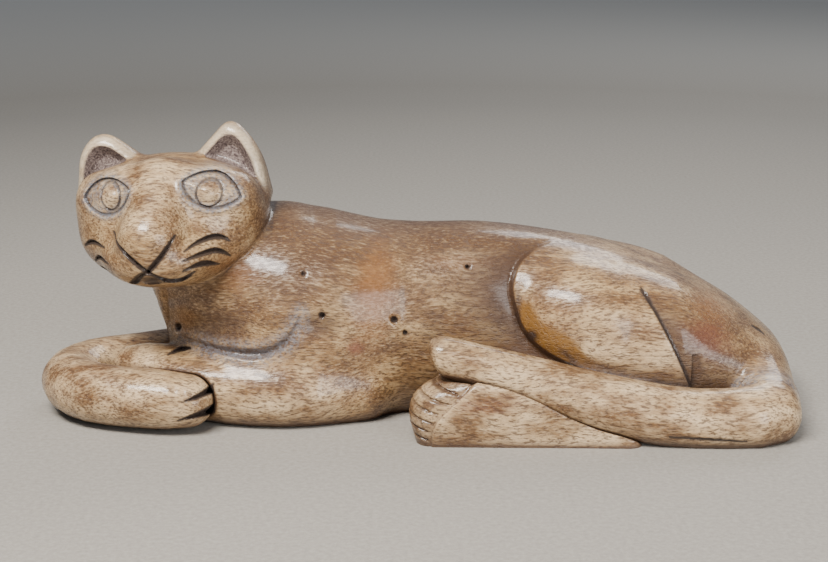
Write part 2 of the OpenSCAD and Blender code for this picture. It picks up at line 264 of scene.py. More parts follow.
def almond(x, z, start, end, up, down):
    """Two arcs from corner to corner, rising by up and dropping by down. Negative inside."""
    start, end = np.array(start, F), np.array(end, F)
    along = (end-start)/np.linalg.norm(end-start)
    turn = 1 if along[0] > 0 else -1
    across = np.array([-along[1], along[0]])*turn
    half = np.linalg.norm(end-start)/2
    middle = (start+end)/2
    s = (x-middle[0])*along[0]+(z-middle[1])*along[1]
    t = (x-middle[0])*across[0]+(z-middle[1])*across[1]
    upper, lower = [(half*half+rise*rise)/(2*rise) for rise in (up, down)]
    return np.maximum(np.hypot(s, t+upper-up)-upper, np.hypot(s, t-lower+down)-lower)


# lines across the face, as (x, z, half width)
FACE_LINES = [
    [(-17.5, 4, .3), (-11, 0, .9), (-5.5, -4.8, 1.1), (0, -10, 1.0)],
    [(11.3, 3.8, .3), (7.8, -1.6, .9), (4, -6.2, 1.1), (0, -10, 1.0)],
    [(0, -9.8, .7), (-3.8, -12, 1.1), (-7, -15, 1.3), (-10, -16.5, .6)],
    [(0, -9.8, .7), (3.6, -12.8, 1.1), (8, -15, 1.2), (12.5, -15, 1.0), (17.5, -12.2, .3)],
    [(14.5, -3, .2), (18.6, -0.8, .8), (24, 0.2, 1.1), (27.6, -1, .7), (29.4, -2.8, .2)],
    [(14, -6.6, .2), (18.5, -5.6, .8), (23.8, -5.2, 1.1), (27, -7, .7), (28.8, -9.6, .2)],
    [(13.8, -11, .2), (18, -9.6, .9), (21.5, -9.6, 1.2), (24.8, -12, .3)],
    [(-35.5, -5, .2), (-30, -2, 1.0), (-22, -2.6, .2)],
    [(-31, -11.5, .2), (-26, -7.8, 1.0), (-19, -8.2, .2)],
    [(-29, -14.5, .6), (-24, -13.8, 1.2), (-20.5, -14, .6)],
]
# the inner corner, the outer corner, how far the lids rise and drop, the iris's middle and its radii
EYES = [((12, 23.4), (34.6, 14.6), 6.6, 7.2, (22.6, 17.8), (5.2, 5.6)),
        ((-10, 20.6), (-33, 16), 6.2, 8.2, (-19.4, 17.8), (4.6, 5.8))]
MOUTH_X, MOUTH_Z, MOUTH_HALF = 0.5, -14.2, 5.5
FACE_FRONT = -2
EAR_RIM = 2.9
HEAD_BLEND = 1.2


def carved_face(q):
    v = face(q)
    front = (q[:, 1] < FACE_FRONT) & (v < 3) & (v > -6)
    w, seen = v[front], q[front]
    x, z = seen[:, 0], seen[:, 2]
    for start, end, up, down, (iris_x, iris_z), (radius_x, radius_z) in EYES:
        lid = almond(x, z, start, end, up, down)
        w += np.clip(-lid*0.6, 0, 0.7)                       # the eyeball lies a little below the lids
        w -= 0.9*np.clip(-(lid+2)/4, 0, 1)                   # and swells in the middle
        w -= 0.4*np.exp(-((lid-1.3)/0.9)**2)                 # raised lid
        w = gouge(w, np.abs(lid+0.2)-0.8, 1.3)
        iris = np.hypot((x-iris_x)/radius_x, (z-iris_z)/radius_z)
        w = gouge(w, np.abs(iris-1)*radius_x-0.6, 1.1)
        w -= 0.5*np.clip(1-(iris/0.62)**2, 0, 1)
    for points in FACE_LINES:
        w = gouge(w, line(seen, points, axes=(0, 2)))
    w += 1.7*np.clip(1-np.hypot((x-MOUTH_X)/MOUTH_HALF, (z-MOUTH_Z)/2.4), 0, 1)**0.5
    v[front] = w
    return v


def carved_ear(q, s):
    """The ear with its front scooped out inside a rim."""
    edge = ear_outline(q, s)+EAR_RIM
    front = EAR_BACK-ear_half_thickness(q)
    deep = np.minimum(1.1*np.maximum(-edge, 0), 4.5)
    return np.maximum(ear_form(q, s), -np.maximum(edge, q[:, 1]-front-deep))


def carved_head(q):
    return soft_min(soft_min(carved_face(q), carved_ear(q, 1), 2.5), carved_ear(q, -1), 2.5)


# ---- carved detail on the body -------------------------------------------------------------------
SLOPE = 0.268                                                # the tangent of 15 degrees


def side(p):
    """The side view: the place along the body, and the height measured down a 15 degree slope."""
    return np.stack([p[:, 0], p[:, 2]-SLOPE*np.abs(p[:, 1])], 1)


def ledge(v, q, points, fade, front):
    """Sinks the surface on one side of a line. A point of it is x, height and depth."""
    curve = spline(points, 4)
    x = np.interp(q[:, 1], curve[:, 1], curve[:, 0])
    d = bar(q, curve*np.array([1, 1, 0], F))
    s = np.where(q[:, 0] < x, d, -d)*front
    depth = np.interp(q[:, 1], curve[:, 1], curve[:, 2])
    return v+(depth*np.exp(-np.maximum(s, 0)/fade)*np.clip(0.5+s/1.6, 0, 1)).astype(F)


def blob(q, x, height, half_length, half_height, turn=0):
    """A soft spot: 1 in its middle, fading outward."""
    c, s = np.cos(np.radians(turn)), np.sin(np.radians(turn))
    a, b = q[:, 0]-x, q[:, 1]-height
    return np.exp(-((a*c+b*s)/half_length)**2-((b*c-a*s)/half_height)**2)


# lines on the side view, as (x, height, depth or half width)
HAUNCH = [(86, 9, 0), (68, 16, 1.5), (55, 23, 3.4), (47, 32, 4.4), (43, 43, 4.6), (42, 52, 4.2),
          (45, 61, 3.2), (52, 68, 1.8), (62, 73, 0)]
HOCK = [(119, 5, 1.0), (114, 16, 1.6), (108.5, 28, 1.8), (103, 39, 1.2), (97, 50, 0)]
CREASE = [(-107, 31, .4), (-92, 25.5, 1.8), (-77, 22, 2.8), (-65, 21.6, 3), (-56, 25.5, 2.4), (-50, 33, 1.6),
          (-48, 40, .3)]
FORELEG_SLIT = [(-106.5, 20.6, .2), (-102, 22.8, 1), (-97, 23.6, .5)]
TAIL_CRACK = [(106, -13.4, .2), (122, -14.4, .5), (138, -15.4, .2)]
RUMP_SLIT = [(148, 33.4, .2), (151.5, 31.6, .6), (154, 29.4, .2)]
CUTS = [FORELEG_SLIT, TAIL_CRACK, RUMP_SLIT]
TOES = [[(-98, 0.8, .1), (-92.5, 2.6, .9), (-87, 5.4, 1.6), (-82, 9, 2)],
        [(-100, -7.4, .1), (-93, -5.4, 1), (-87, -3.4, 1.7), (-82, -0.5, 2)]]
# borer holes, as (x, height, radius)
PITS = [(-102.5, 33, 1.5), (-39, 38.6, 1.3), (-8.5, 36.5, 1.5), (-3.8, 30.7, 1), (-47, 57, 0.9),
        (23, 60, 0.8)]


def with_width(points, half_width):
    return [(x, height, half_width) for x, height, _ in points]


def small_cuts(v, p):
    """Slits, cracks and borer holes on the near side."""
    near = (p[:, 1] < -10) & (np.abs(v) < 5)
    w, q = v[near], side(p[near])
    for points in CUTS:
        w = gouge(w, line(q, points), 1.6, 2.5)
    for x, height, radius in PITS:
        reach = np.hypot(q[:, 0]-x, q[:, 1]-height)/radius
        w += (2.2*np.clip(1.3-reach, 0, 1)).astype(F)
    v[near] = w
    return v


def carve_side(v, p):
    """The ledge at the front of the haunch, the line behind the thigh, and the foreleg's crease."""
    q = side(p)
    x, y = p[:, 0], p[:, 1]
    m = (x > -5) & (np.abs(y) > 6) & (v > -14)
    v[m] = ledge(v[m], q[m], HAUNCH, 13, 1)
    m = (x > 90) & (np.abs(y) > 12) & (v > -8)
    v[m] = ledge(v[m], q[m], HOCK, 9, -1)
    m = (np.abs(y) > 20) & (np.abs(v) < 8) & (x > 90)
    v[m] = gouge(v[m], line(q[m], with_width(HOCK, .7)), 1.2, 1)
    m = (y < -8) & (x < -20) & (np.abs(v) < 8)
    w = gouge(v[m], line(q[m], CREASE), 0.8, 2.4)
    hollows = 2.2*blob(q[m], -84, 33, 17, 7)+1.8*blob(q[m], -40, 34, 8, 5)
    w += (hollows-1.2*blob(q[m], -60, 37, 9, 6, 20)).astype(F)
    v[m] = w
    return small_cuts(v, p)


def cut_toes(v, p):
    """A step behind a hind foot's toe tips, and the cuts between the toes."""
    x, y, z = p.T
    front = toe_front(x, z)
    m = (front > -10) & (np.abs(v) < 4) & (np.abs(y) > 44)
    w, front, z = v[m], front[m], z[m]
    w += 0.7*np.clip((front+6)/0.8, 0, 1)
    w = gouge(w, np.abs(front+6)-0.8, 1.2, 1.2)
    for height in (3.5, 7.5, 11.5, 15.5, 19.5, 23.5):
        between = np.abs(z-height-0.3*(front+3))-0.6
        w = gouge(w, np.maximum(between, -5.2-front), 1.4, 1.3)
    v[m] = w
    return v


# ---- the carved pieces, before their flat seams are cut --------------------------------------------
GAP = 0.4                                                    # kept open between touching limbs


def carved_torso(p):
    v = body_form(p)
    x, y = p[:, 0], p[:, 1]
    front, back = x < 10, x > -25
    for form, m, k in ((near_arm, front, 5), (far_arm, front, 5), (near_foot, back, 6), (far_foot, back, 6)):
        v[m] = soft_min(v[m], form(p[m]), k)
    v = carve_side(v, p)
    m = x < -50
    v[m] = soft_min(v[m], carved_head(to_head(p[m])), HEAD_BLEND)
    m = x > -10
    tail = tail_form(p[m])
    w = soft_min(v[m], np.maximum(tail, -y[m]-55), tail_blend(x[m]))
    v[m] = soft_max(w, GAP-np.maximum(tail, y[m]+46), 1)
    return v


def head_piece(p):
    return soft_min(ear_piece(p), chest(p), HEAD_BLEND)


def ear_piece(p):
    return carved_head(to_head(p))


def near_foreleg(p):
    v = soft_min(soft_max(chest(p), p[:, 1]-9, 1), near_arm(p), 5)
    return carve_side(soft_max(v, GAP-far_arm(p), 1.5), p)


def far_foreleg(p):
    v = soft_min(soft_max(chest(p), -9-p[:, 1], 1), far_arm(p), 5)
    paw = (p[:, 1] < -36) & (p[:, 0] > -112) & (np.abs(v) < 6)
    w, q = v[paw], side(p[paw])
    for points in TOES:
        w = gouge(w, line(q, points), 1.9, 4.5)
    v[paw] = w
    return v


def near_hind_foot(p):
    v = soft_min(with_thighs(trunk(p), p), near_foot(p), 6)
    return cut_toes(carve_side(soft_max(v, GAP-tail_form(p), 1), p), p)


def far_hind_foot(p):
    v = soft_min(with_thighs(trunk(p), p), far_foot(p), 6)
    return cut_toes(carve_side(v, p), p)


def carved_tail(p):
    return small_cuts(soft_min(trunk(p), tail_form(p), tail_blend(p[:, 0])), p)


def whole(p):
    """The whole figure without its fine carving, for shading hollows."""
    v = soft_min(body_form(p), tail_form(p), 3)
    for form in (near_arm, far_arm, near_foot, far_foot):
        v = np.minimum(v, form(p))
    m = p[:, 0] < -45
    v[m] = np.minimum(v[m], head_form(to_head(p[m])))
    return np.minimum(v, p[:, 2])


# ---- turning a form into a mesh --------------------------------------------------------------------
def many(form, p, size=400000):
    """Works a form out in batches, to spare memory."""
    if len(p) == 0:
        return np.zeros(0, F)
    return np.concatenate([form(p[i:i+size]) for i in range(0, len(p), size)])


def gradient(form, p, step=0.2):
    return np.stack([many(form, p+d)-many(form, p-d) for d in np.eye(3, dtype=F)*step], 1)/(2*step)


def close_walls(grid, value):
    """Keeps the form from running out through the walls of its box."""
    for axis in range(3):
        for end in (0, -1):
            wall = [slice(None)]*3
            wall[axis] = end
            grid[tuple(wall)] = np.maximum(grid[tuple(wall)], value)


def sampled(form, low, high, step, cell=5):
    """The form on a fine grid. A coarse grid comes first, and only its cells near the surface are refined."""
    coarse = step*cell
    count = np.ceil((np.array(high, F)-low)/coarse).astype(int)
    axes = [low[a]+coarse*(np.arange(count[a])+0.5) for a in range(3)]
    middles = np.stack(np.meshgrid(*axes, indexing="ij"), -1).reshape(-1, 3).astype(F)
    v = many(form, middles)
    near = np.abs(v) < coarse*1.5+2
    grid = np.broadcast_to(v.reshape(*count, 1, 1, 1), (*count, cell, cell, cell)).astype(F).copy()
    inside = np.stack(np.meshgrid(*[np.arange(cell)]*3, indexing="ij"), -1).reshape(-1, 3)
    offsets = ((inside+0.5)*step-coarse/2).astype(F)
    p = (middles[near][:, None]+offsets[None]).reshape(-1, 3)
    grid[near.reshape(count)] = many(form, p).reshape(-1, cell, cell, cell)
    return grid.transpose(0, 3, 1, 4, 2, 5).reshape(count*cell), count*coarse


def surface(form, low, high, step):
    """Points and faces of a form's surface in a box, with each point settled on the exact surface."""
    low = np.array(low, F)
    grid, size = sampled(form, low, high, step)
    close_walls(grid, step)
    volume = openvdb.FloatGrid(1e3)
    volume.copyFromArray(np.ascontiguousarray(grid))
    points, triangles, quads = volume.convertToPolygons(0.0, 0.0)
    points = (low+(points.astype(F)+0.5)*step).astype(F)
    free = np.minimum(points-low, low+size-points).min(1) > step*1.2
    for _ in range(2):
        p = points[free]
        slope = gradient(form, p)
        d = many(form, p)/np.maximum((slope*slope).sum(1), 0.2)
        points[free] = p-np.clip(d, -0.6*step, 0.6*step)[:, None]*slope
    faces = [list(map(int, row)) for row in triangles]+[list(map(int, row)) for row in quads]
    return points, faces


def make(name, points, faces):
    mesh = bpy.data.meshes.new(name)
    mesh.from_pydata((np.asarray(points, float)*MM).tolist(), [], faces)
    mesh.validate()
    mesh.update()
    ob = bpy.data.objects.new(name, mesh)
    bpy.context.scene.collection.objects.link(ob)
    return ob


def block(low, high, at=(0, 0, 0), axes=np.eye(3)):
    """A box for cutting, from one corner to the other in its own axes."""
    corners = [[x, y, z] for x in (low[0], high[0]) for y in (low[1], high[1]) for z in (low[2], high[2])]
    corners = np.array(corners, float)@np.array(axes).T+np.array(at)
    faces = [[0, 1, 3, 2], [4, 6, 7, 5], [0, 4, 5, 1], [2, 3, 7, 6], [0, 2, 6, 4], [1, 5, 7, 3]]
    return make("cutter", corners, faces)


def cut(ob, cutter, how="DIFFERENCE"):
    modifier = ob.modifiers.new("cut", "BOOLEAN")
    modifier.operation, modifier.solver, modifier.object = how, "MANIFOLD", cutter
    mesh = bpy.data.meshes.new_from_object(ob.evaluated_get(bpy.context.evaluated_depsgraph_get()))
    ob.modifiers.clear()
    old = ob.data
    ob.data = mesh
    mesh.name = ob.name
    bpy.data.meshes.remove(old)
    bpy.data.objects.remove(cutter)


def island_of(start, left):
    """Takes the vertices joined to start out of left, and returns them."""
    island = []
    edge = [start]
    while edge:
        vert = edge.pop()
        island.append(vert)
        for link in vert.link_edges:
            other = link.other_vert(vert)
            if other in left:
                left.discard(other)
                edge.append(other)
    return island


WELD = 0.02*MM


def clean(ob):
    """Welds the slivers that the cuts leave, and drops crumbs cut loose from the piece."""
    mesh = bmesh.new()
    mesh.from_mesh(ob.data)
    bmesh.ops.remove_doubles(mesh, verts=mesh.verts, dist=WELD)
    bmesh.ops.dissolve_degenerate(mesh, dist=WELD, edges=mesh.edges)
    left = set(mesh.verts)
    islands = []
    while left:
        islands.append(island_of(left.pop(), left))
    islands.sort(key=len)
    crumbs = [vert for island in islands[:-1] for vert in island]
    bmesh.ops.delete(mesh, geom=crumbs, context="VERTS")
    print(ob.name, "open edges", sum(not edge.is_manifold for edge in mesh.edges))
    mesh.to_mesh(ob.data)
    mesh.free()


# ---- flat seams ------------------------------------------------------------------------------------
FAR = 400
LEG_BACK, LEG_TOP = -62, 33.5
FOOT_FRONT, FOOT_BACK, FOOT_SIDE, FOOT_TOP = -8, 118, 41, 34
TAIL_SIDE = -46
UNDER = -1
NECK_AT, NECK_DIR = np.array([-89, -6, 69]), np.array([-0.65, -0.22, 0.725])
EAR_SPLAY = 20
EAR_SEAT = (20, 8.5, 40)                                     # half length, half thickness and height


def neck_axes():
    along = NECK_DIR/np.linalg.norm(NECK_DIR)
    across = np.cross([0, 1, 0], along)
    across /= np.linalg.norm(across)
    return np.stack([across, np.cross(along, across), along], 1)


def below_ground():
    return block((-FAR, -FAR, -FAR), (FAR, FAR, 0))


def beyond_neck():
    return block((-FAR/2, -FAR/2, 0), (FAR/2, FAR/2, FAR), NECK_AT, neck_axes())


def ear_seat(s):
    """The space of an ear, standing on the flat that it is glued to. s is 1 for left and -1 for right."""
    length, thickness, height = EAR_SEAT
    axes = HEAD_AXES@rotation((0, EAR_SPLAY*s, 0)).astype(float)
    at = HEAD_AT+HEAD_AXES@np.array([EAR_OUT*s, EAR_BACK, EAR_ROOT])
    return block((-length, -thickness, 0), (length, thickness, height), at, axes)


def space(low=(-FAR, -FAR, -FAR), high=(FAR, FAR, FAR)):
    """A maker of blocks, since each cut uses its block up."""
    return lambda: block(low, high)


# ---- the pieces ------------------------------------------------------------------------------------
pieces = {}


def piece(name, form, low, high, step, cuts, node, slot, keep=None):
    """Meshes a form at a step, keeps what is inside keep, and takes the cuts away from it."""
    ob = make(name, *surface(form, low, high, step))
    if keep:
        cut(ob, keep(), "INTERSECT")
    for cutter in cuts:
        cut(ob, cutter())
    clean(ob)
    pieces[name] = (ob, node, slot)


def carve_torso():
    leg_space = space((-FAR, -FAR, UNDER), (LEG_BACK, FAR, LEG_TOP))
    near_foot_space = space((FOOT_FRONT, -FAR, UNDER), (FOOT_BACK, -FOOT_SIDE, FOOT_TOP))
    far_foot_space = space((FOOT_FRONT, FOOT_SIDE, UNDER), (FOOT_BACK, FAR, FOOT_TOP))
    tail_space = space((FOOT_BACK, -FAR, UNDER), (FAR, TAIL_SIDE, FOOT_TOP))
    piece("carved_torso", carved_torso, (-122, -58, -4), (172, 58, 100), 1.0,
          [below_ground, leg_space, near_foot_space, far_foot_space, tail_space, beyond_neck],
          "torso", "body_wood")


def carve_head():
    piece("carved_head", head_piece, (-150, -70, 40), (-56, 30, 130), 0.5,
          [lambda: ear_seat(1), lambda: ear_seat(-1)], "head", "body_wood", keep=beyond_neck)


def carve_ear(s, hand):
    middle = HEAD_AT+HEAD_AXES@np.array([EAR_OUT*s, EAR_BACK, EAR_ROOT+6])
    piece("carved_"+hand+"_ear", ear_piece, middle-26, middle+26, 0.5, [], hand+"_ear", "ear_wood",
          keep=lambda: ear_seat(s))


def carve_forelegs():
    behind = space(low=(LEG_BACK, -FAR, -FAR))
    above = space(low=(-FAR, -FAR, LEG_TOP))
    far_half = space(low=(-FAR, 0, -FAR))
    inner_paw = space((-111, -28, -FAR), (FAR, 0, FAR))
    piece("carved_left_foreleg", near_foreleg, (-140, -58, -4), (-57, 14, 38), 0.8,
          [below_ground, behind, above, far_half], "left_foreleg", "body_wood")
    piece("carved_right_foreleg", far_foreleg, (-170, -66, -4), (-57, 50, 38), 0.65,
          [below_ground, behind, above, inner_paw], "right_foreleg", "body_wood")


def carve_hind_feet():
    above = space(low=(-FAR, -FAR, FOOT_TOP))
    behind = space(low=(FOOT_BACK, -FAR, -FAR))
    between = space((-FAR, -FOOT_SIDE, -FAR), (FAR, FOOT_SIDE, FAR))
    cuts = [below_ground, above, behind, between]
    piece("carved_left_hind_foot", near_hind_foot, (-12, -76, -4), (123, -36, 39), 0.6, cuts,
          "left_hind_foot", "body_wood")
    piece("carved_right_hind_foot", far_hind_foot, (-12, 36, -4), (123, 76, 39), 0.6, cuts,
          "right_hind_foot", "body_wood")


def carve_tail():
    piece("carved_tail", carved_tail, (-2, -82, -4), (176, -41, 50), 0.8,
          [below_ground, space(low=(-FAR, TAIL_SIDE, -FAR))], "tail", "body_wood")


# ---- hollows, stains and patches, painted per vertex -----------------------------------------------
def soft(distance, width):
    return np.clip(1-distance/width, 0, 1)


def put(values, where, new):
    """Raises values to new where new is higher."""
    values[where] = np.maximum(values[where], new)


def face_marks(q):
    """How strongly a point of the head shows a cut line, caught polish, an ear's cup and an ear's rim."""
    x, y, z = q.T
    front = (y < FACE_FRONT).astype(F)
    cuts, polish, cup, rim = [np.zeros(len(q), F) for _ in range(4)]
    for points in FACE_LINES:
        cuts = np.maximum(cuts, front*soft(line(q, points, axes=(0, 2)), 0.5))
    mouth = np.hypot((x-MOUTH_X)/MOUTH_HALF, (z-MOUTH_Z)/2.6)
    cuts = np.maximum(cuts, 0.8*front*np.clip(1.4-mouth, 0, 1))
    for start, end, up, down, (iris_x, iris_z), (radius_x, radius_z) in EYES:
        lid = almond(x, z, start, end, up, down)
        iris = np.hypot((x-iris_x)/radius_x, (z-iris_z)/radius_z)
        polish = np.maximum(polish, front*np.exp(-((lid-0.1)/1.7)**2))
        polish = np.maximum(polish, 0.55*front*(lid < 0))
        cuts = np.maximum(cuts, 0.75*front*np.exp(-((lid+0.3)/0.7)**2))
        cuts = np.maximum(cuts, 0.65*front*np.exp(-((iris-1)*radius_x/0.7)**2)*(lid < 0.5))
        polish = np.where((iris < 0.8) & (front > 0), 0.1, polish)
    proud = np.clip(face(q)/2, 0, 1)
    for s in (1, -1):
        edge = ear_outline(q, s)+EAR_RIM
        plate = EAR_BACK-ear_half_thickness(q)
        ear = (s*x > 5)
        inside = np.clip(-edge/0.7, 0, 1)*np.clip((y-plate+0.2)/0.8, 0, 1)*np.clip(6.5+plate-y, 0, 1)
        inside = inside*ear*(z > 14)
        ridge = np.exp(-((edge-1.2)/1.5)**2)*ear*(y < 9)
        cup = np.maximum(cup, inside)
        rim = np.maximum(rim, ridge*proud*np.clip(2-ear_form(q, s), 0, 1))
        polish = np.maximum(polish, 0.5*np.exp(-((z-22)/2.5)**2)*inside)
    return cuts, polish, cup, rim


def carved_marks(p):
    """The marks of face_marks for the whole figure."""
    groove, chalk, cup, rim = [np.zeros(len(p), F) for _ in range(4)]
    q = side(p)
    near = p[:, 1] < -8
    for points in CUTS:
        put(groove, near, soft(line(q[near], points), 0.5))
    paw = near & (p[:, 0] < -85) & (p[:, 1] < -40)
    for points in TOES:
        put(groove, paw, soft(line(q[paw], points), 0.5))
    for x, height, radius in PITS:
        put(groove, near, soft(np.hypot(q[near, 0]-x, q[near, 1]-height)-radius*0.8, 0.7))
    thigh = near & (p[:, 0] > 90)
    thigh[thigh] = tail_form(p[thigh]) > 1
    put(groove, thigh, 0.9*soft(line(q[thigh], with_width(HOCK, .6)), 0.8))
    m = near & (p[:, 0] < -30)
    put(chalk, m, 0.55*soft(line(q[m], CREASE)-1, 4))
    m = (p[:, 0] > 20) & (p[:, 1] < -38)
    beside_tail = np.exp(-(tail_form(p[m])/2.2)**2)
    put(chalk, m, 0.7*beside_tail*(p[m, 1] > -54)*(p[m, 2] > 12))
    head = (p[:, 0] < -50) & (p[:, 2] > 45)
    for values, marks in zip((groove, chalk, cup, rim), face_marks(to_head(p[head]))):
        put(values, head, marks)
    return {"groove": groove, "chalk": chalk, "cup": cup, "rim": rim}


def patches(p):
    """Where the stain has soaked in: warm, red, amber, and near black, the near black also painted shade
    along the haunch and on the head's right side. The fifth is the deeper all-over stain, with painted shade
    under the head and on its right side.
    """
    q, h = side(p), to_head(p)
    warm = 0.9*blob(q, -17, 48, 9, 22, -6)+0.5*blob(q, -75, 58, 14, 12)+0.6*blob(q, 128, 42, 12, 9, -40)
    warm += 0.5*blob(q, -100, 36, 6, 8)+0.4*blob(q, 20, 62, 18, 5)
    red = 0.9*blob(q, 124, 28, 12, 9, -20)+0.7*blob(q, -25, 24, 4, 4)+0.3*blob(q, 30, 0, 20, 6)
    amber = np.clip(1.15-line(q, [(47, 41, 1), (51, 31, 3), (60, 24, 5), (72, 14, 3)])/3.5, 0, 1)
    amber = amber*(q[:, 0] > 44)*(tail_form(p) > 0.8)
    # near black: a dark spot and painted shade along the haunch's front edge, and darker patches on the flank
    dark_spots_and_shade = blob(q, 50.5, 29.5, 3, 2.4, -50)+0.7*blob(q, 66, 20, 7, 1.6, -45)+0.6*blob(q, 44.5, 42, 1.6, 12)
    dark_spots_and_shade += 0.5*blob(q, 99, 46, 3, 5, 30)+0.35*blob(q, 8, 30, 8, 12)+0.3*blob(q, 36, 38, 7, 14)
    # painted shade on the head's right side, turned away from the window lamp
    cheek = np.clip((h[:, 0]-31)/8, 0, 1)*np.clip((h[:, 2]+12)/10, 0, 1)*np.clip((h[:, 1]+12)/8, 0, 1)
    dark_spots_and_shade += 0.45*cheek*(p[:, 0] < -60)
    stain_and_head_shade = 0.95*blob(q, -68, 56, 48, 27)+0.5*blob(q, 15, 52, 38, 24)+0.6*blob(q, 128, 34, 20, 16)
    stain_and_head_shade += 0.8*np.clip((p[:, 2]-68)/9, 0, 1)
    worn = 0.7*np.clip((np.abs(p[:, 1])-43)/8, 0, 1)+0.6*np.clip((-106-p[:, 0])/8, 0, 1)
    on_head = (p[:, 0] < -60)*np.clip(3-head_form(h), 0, 1)
    # painted shade: darker under the head and on its right side, away from the window lamp
    under = 0.8*np.clip(-0.2-h[:, 2]/18, 0, 1)*np.clip((h[:, 1]+26)/14, 0, 1)
    under += 0.5*np.clip((h[:, 0]-28)/10, 0, 1)
    worn_face = 0.7*np.clip((h[:, 2]-2)/12, 0, 1)*np.clip((-8-h[:, 1])/8, 0, 1)
    stain_and_head_shade = (stain_and_head_shade-worn)*(1-on_head)+(under-worn_face)*on_head
    found = {"warm": warm, "red": red, "amber": amber, "dark_spots_and_shade": dark_spots_and_shade, "stain_and_head_shade": stain_and_head_shade}
    return {name: np.clip(values, -1, 1) for name, values in found.items()}


def hollows(p, normals):
    """How closed in each point is: the form should open up as fast as one steps away from it. The material
    paints shade where this is high.
    """
    hollow = np.zeros(len(p), F)
    for step, weight in ((1.5, 0.4), (4, 0.4), (10, 0.3)):
        hollow += weight*np.clip(1-many(whole, p+normals*step)/step, 0, 1)
    return hollow


def paint(ob):
    """Stores what the wood's material needs to know, vertex by vertex."""
    mesh = ob.data
    p, normals = np.empty(len(mesh.vertices)*3, F), np.empty(len(mesh.vertices)*3, F)
    mesh.vertices.foreach_get("co", p)
    mesh.vertices.foreach_get("normal", normals)
    p, normals = p.reshape(-1, 3)*PER_METRE, normals.reshape(-1, 3)
    marks = {"hollow": hollows(p, normals), **carved_marks(p), **patches(p)}
    for name, values in marks.items():
        mesh.attributes.new(name, "FLOAT", "POINT").data.foreach_set("value", values.astype(F))
    mesh.shade_smooth()
    mesh.set_sharp_from_angle(angle=math.radians(55))


# ---- materials -------------------------------------------------------------------------------------
class Nodes:
    """A short hand for building a material's node tree."""

    def __init__(self, name):
        self.mat = bpy.data.materials.new(name)
        self.mat.use_nodes = True
        self.tree = self.mat.node_tree
        self.shader = self.tree.nodes["Principled BSDF"]

    def set(self, socket, value):
        if isinstance(value, bpy.types.NodeSocket):
            self.tree.links.new(value, socket)
        elif isinstance(value, tuple) and socket.type == "RGBA":
            socket.default_value = (*value, 1)
        else:
            socket.default_value = value

    def node(self, kind, out=0, props=None, **inputs):
        """Adds a node. An input is given by its name, or as i0, i1 and so on by its number."""
        n = self.tree.nodes.new("ShaderNode"+kind)
        for name, value in (props or {}).items():
            setattr(n, name, value)
        for name, value in inputs.items():
            by_number = name[0] == "i" and name[1:].isdigit()
            self.set(n.inputs[int(name[1:]) if by_number else name.replace("_", " ")], value)
        return n.outputs[out]

    def math(self, op, a, b=0.0, c=0.0):
        return self.node("Math", 0, {"operation": op}, i0=a, i1=b, i2=c)

    def vector(self, op, a, b=(0, 0, 0), c=(0, 0, 0), out=0):
        return self.node("VectorMath", out, {"operation": op}, i0=a, i1=b, i2=c)

    def ramp(self, value, lo, hi, a=0.0, b=1.0):
        return self.node("MapRange", Value=value, From_Min=lo, From_Max=hi, To_Min=a, To_Max=b)

    def mix(self, amount, a, b):
        n = self.tree.nodes.new("ShaderNodeMix")
        n.data_type = "RGBA"
        self.set(n.inputs[0], amount)
        self.set(n.inputs[6], a)
        self.set(n.inputs[7], b)
        return n.outputs[2]

    def lay(self, under, amount, strength, colour):
        """Lays a colour over another one, at a strength, where amount is high."""
        return self.mix(self.math("MULTIPLY", amount, strength), under, colour)

    def noise(self, at, scale, detail=2.0, rough=0.5):
        return self.node("TexNoise", Vector=at, Scale=scale, Detail=detail, Roughness=rough)

    def stretch(self, at, scale):
        return self.node("Mapping", Vector=at, Scale=scale)

    def attr(self, name):
        return self.node("Attribute", 2, {"attribute_name": name})

    def millimetres(self):
        return self.vector("MULTIPLY", self.node("TexCoord", 3), (PER_METRE, PER_METRE, PER_METRE))


PALE, HONEY, TAN, BROWN = (0.66, 0.46, 0.24), (0.47, 0.285, 0.12), (0.30, 0.155, 0.055), (0.13, 0.055, 0.018)
CUT_SHADE = (0.03, 0.016, 0.01)
STAIN_AND_SHADE, WORN = (0.105, 0.045, 0.014), (0.78, 0.57, 0.34)
FLECK, PORE, FINE_GRAIN = (0.74, 0.56, 0.35), (0.07, 0.032, 0.013), (0.14, 0.07, 0.032)
WARM, RED, AMBER = (0.25, 0.095, 0.018), (0.22, 0.06, 0.03), (0.20, 0.085, 0.008)
SHADE, DARK_SPOTS_AND_SHADE, POLISH = (0.07, 0.032, 0.015), (0.035, 0.018, 0.014), (0.25, 0.29, 0.35)
CUP_PALE, CUP_DARK, EAR_EDGE = (0.30, 0.23, 0.20), (0.06, 0.035, 0.035), (0.78, 0.64, 0.45)


